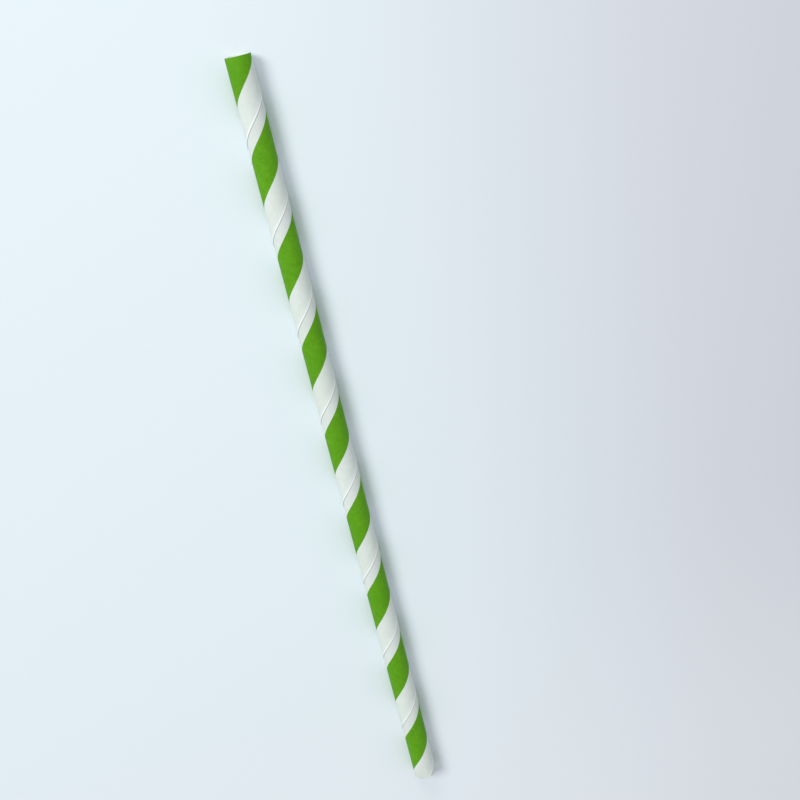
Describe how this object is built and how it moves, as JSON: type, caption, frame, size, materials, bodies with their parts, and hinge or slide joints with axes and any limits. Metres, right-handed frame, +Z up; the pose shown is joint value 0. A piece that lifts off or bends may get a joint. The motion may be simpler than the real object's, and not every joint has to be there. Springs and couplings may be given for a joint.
{
  "type": "drinking straw",
  "caption": "Straight paper drinking straw, spiral wound from glued strips, with a broad printed helical stripe, a raised lap seam, square-cut ends and an open bore.",
  "frame": {"origin": "middle of the straw's length, straight under its axis, on the surface that it lies on", "axes": "+X along the straw towards its marked end, where the printed stripe's first edge runs out at the cut on the +Y side; +Z up"},
  "size_m": [0.197, 0.0062, 0.0062],
  "materials": {
    "printed_paper": "uncoated white paper with a broad green stripe printed in matte ink"
  },
  "bodies": {
    "root": {"paper_straw": "printed_paper"}
  },
  "joints": []
}
